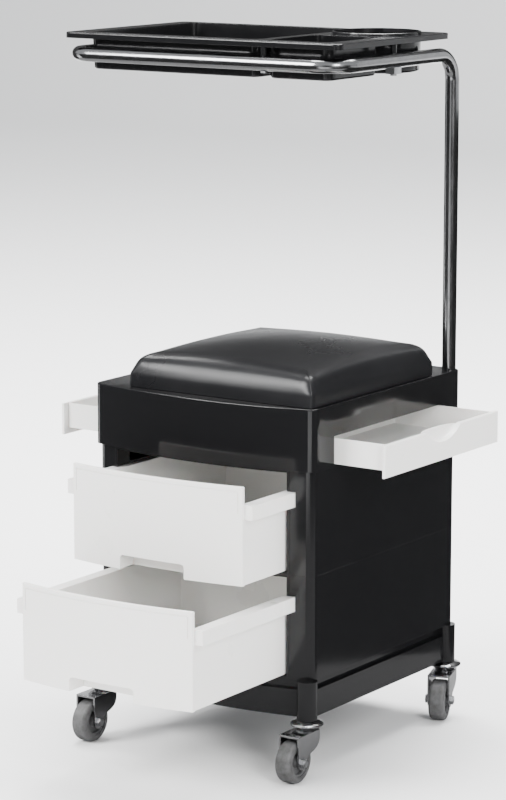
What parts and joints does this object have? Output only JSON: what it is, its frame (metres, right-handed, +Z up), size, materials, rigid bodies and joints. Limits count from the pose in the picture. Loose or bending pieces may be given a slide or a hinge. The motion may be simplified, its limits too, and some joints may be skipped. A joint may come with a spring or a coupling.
{
  "type": "spa trolley cart",
  "caption": "Drawer trolley with a black padded seat, white drawers at the front and sides, swivel casters and a tray on a bent chrome post.",
  "frame": {"origin": "on the floor under the middle of the cabinet", "axes": "+Z up, -Y towards the front drawers, +X towards the right side drawer and the tray post"},
  "size_m": [0.4751, 0.5295, 0.841],
  "materials": {
    "black_plastic": "gloss black moulded plastic, lightly scuffed",
    "dark_plastic": "matte dark plastic",
    "white_plastic": "warm white moulded plastic, semi-gloss",
    "vinyl": "gloss black vinyl with a fine grain",
    "chrome": "bright chrome plating",
    "steel": "zinc plated steel",
    "board": "raw plywood",
    "grey_plastic": "grey nylon",
    "grey_rubber": "grey rubber"
  },
  "bodies": {
    "cabinet": {"base_plinth": "black_plastic", "lower_shell": "black_plastic", "upper_shell": "black_plastic", "lower_runners": "dark_plastic", "upper_runners": "dark_plastic", "top_casing": "black_plastic", "casing_floor": "black_plastic", "casing_screws": "steel", "seat_board": "board", "seat_screws": "steel", "seat_cushion": "vinyl", "front_right_caster_cup": "chrome", "front_right_caster_stem": "steel", "front_left_caster_cup": "chrome", "front_left_caster_stem": "steel", "back_right_caster_cup": "chrome", "back_right_caster_stem": "steel", "back_left_caster_cup": "chrome", "back_left_caster_stem": "steel"},
    "lower_drawer_box": {"lower_drawer": "white_plastic"},
    "upper_drawer_box": {"upper_drawer": "white_plastic"},
    "right_side_box": {"right_side_drawer": "white_plastic"},
    "left_side_box": {"left_side_drawer": "white_plastic"},
    "tray_arm": {"tray_arm_tube": "chrome", "tube_end_plug": "dark_plastic", "instrument_tray": "black_plastic", "tray_saddles": "steel", "tray_screws": "steel"},
    "front_right_swivel": {"front_right_caster_fork": "chrome", "front_right_caster_axle": "steel", "front_right_caster_nut": "steel"},
    "front_right_wheel": {"front_right_caster_hub": "grey_plastic", "front_right_caster_tyre": "grey_rubber"},
    "front_left_swivel": {"front_left_caster_fork": "chrome", "front_left_caster_axle": "steel", "front_left_caster_nut": "steel"},
    "front_left_wheel": {"front_left_caster_hub": "grey_plastic", "front_left_caster_tyre": "grey_rubber"},
    "back_right_swivel": {"back_right_caster_fork": "chrome", "back_right_caster_axle": "steel", "back_right_caster_nut": "steel"},
    "back_right_wheel": {"back_right_caster_hub": "grey_plastic", "back_right_caster_tyre": "grey_rubber"},
    "back_left_swivel": {"back_left_caster_fork": "chrome", "back_left_caster_axle": "steel", "back_left_caster_nut": "steel"},
    "back_left_wheel": {"back_left_caster_hub": "grey_plastic", "back_left_caster_tyre": "grey_rubber"}
  },
  "joints": [
    {"name": "lower_drawer_slide", "type": "slide", "parent": "cabinet", "child": "lower_drawer_box", "axis": [0, -1, 0], "range_m": [-0.182, 0.018]},
    {"name": "upper_drawer_slide", "type": "slide", "parent": "cabinet", "child": "upper_drawer_box", "axis": [0, -1, 0], "range_m": [-0.085, 0.115]},
    {"name": "right_side_drawer_slide", "type": "slide", "parent": "cabinet", "child": "right_side_box", "axis": [1, 0, 0], "range_m": [-0.068, 0.022]},
    {"name": "left_side_drawer_slide", "type": "slide", "parent": "cabinet", "child": "left_side_box", "axis": [-1, 0, 0], "range_m": [-0.072, 0.018]},
    {"name": "tray_arm_turn", "type": "hinge", "parent": "cabinet", "child": "tray_arm", "pos_m": [0.1445, 0.1525, 0.395], "axis": [0, 0, 1], "continuous": true},
    {"name": "front_right_caster_swivel", "type": "hinge", "parent": "cabinet", "child": "front_right_swivel", "pos_m": [0.146, -0.161, 0.056], "axis": [0, 0, 1], "continuous": true},
    {"name": "front_right_wheel_spin", "type": "hinge", "parent": "front_right_swivel", "child": "front_right_wheel", "pos_m": [0.146, -0.19, 0.025], "axis": [1, 0, 0], "continuous": true},
    {"name": "front_left_caster_swivel", "type": "hinge", "parent": "cabinet", "child": "front_left_swivel", "pos_m": [-0.146, -0.161, 0.056], "axis": [0, 0, 1], "continuous": true},
    {"name": "front_left_wheel_spin", "type": "hinge", "parent": "front_left_swivel", "child": "front_left_wheel", "pos_m": [-0.146, -0.19, 0.025], "axis": [1, 0, 0], "continuous": true},
    {"name": "back_right_caster_swivel", "type": "hinge", "parent": "cabinet", "child": "back_right_swivel", "pos_m": [0.146, 0.149, 0.056], "axis": [0, 0, 1], "continuous": true},
    {"name": "back_right_wheel_spin", "type": "hinge", "parent": "back_right_swivel", "child": "back_right_wheel", "pos_m": [0.15544, 0.12158, 0.025], "axis": [0.9455, 0.3256, 0], "continuous": true},
    {"name": "back_left_caster_swivel", "type": "hinge", "parent": "cabinet", "child": "back_left_swivel", "pos_m": [-0.146, 0.149, 0.056], "axis": [0, 0, 1], "continuous": true},
    {"name": "back_left_wheel_spin", "type": "hinge", "parent": "back_left_swivel", "child": "back_left_wheel", "pos_m": [-0.15302, 0.12086, 0.025], "axis": [0.9703, -0.2419, 0], "continuous": true}
  ]
}
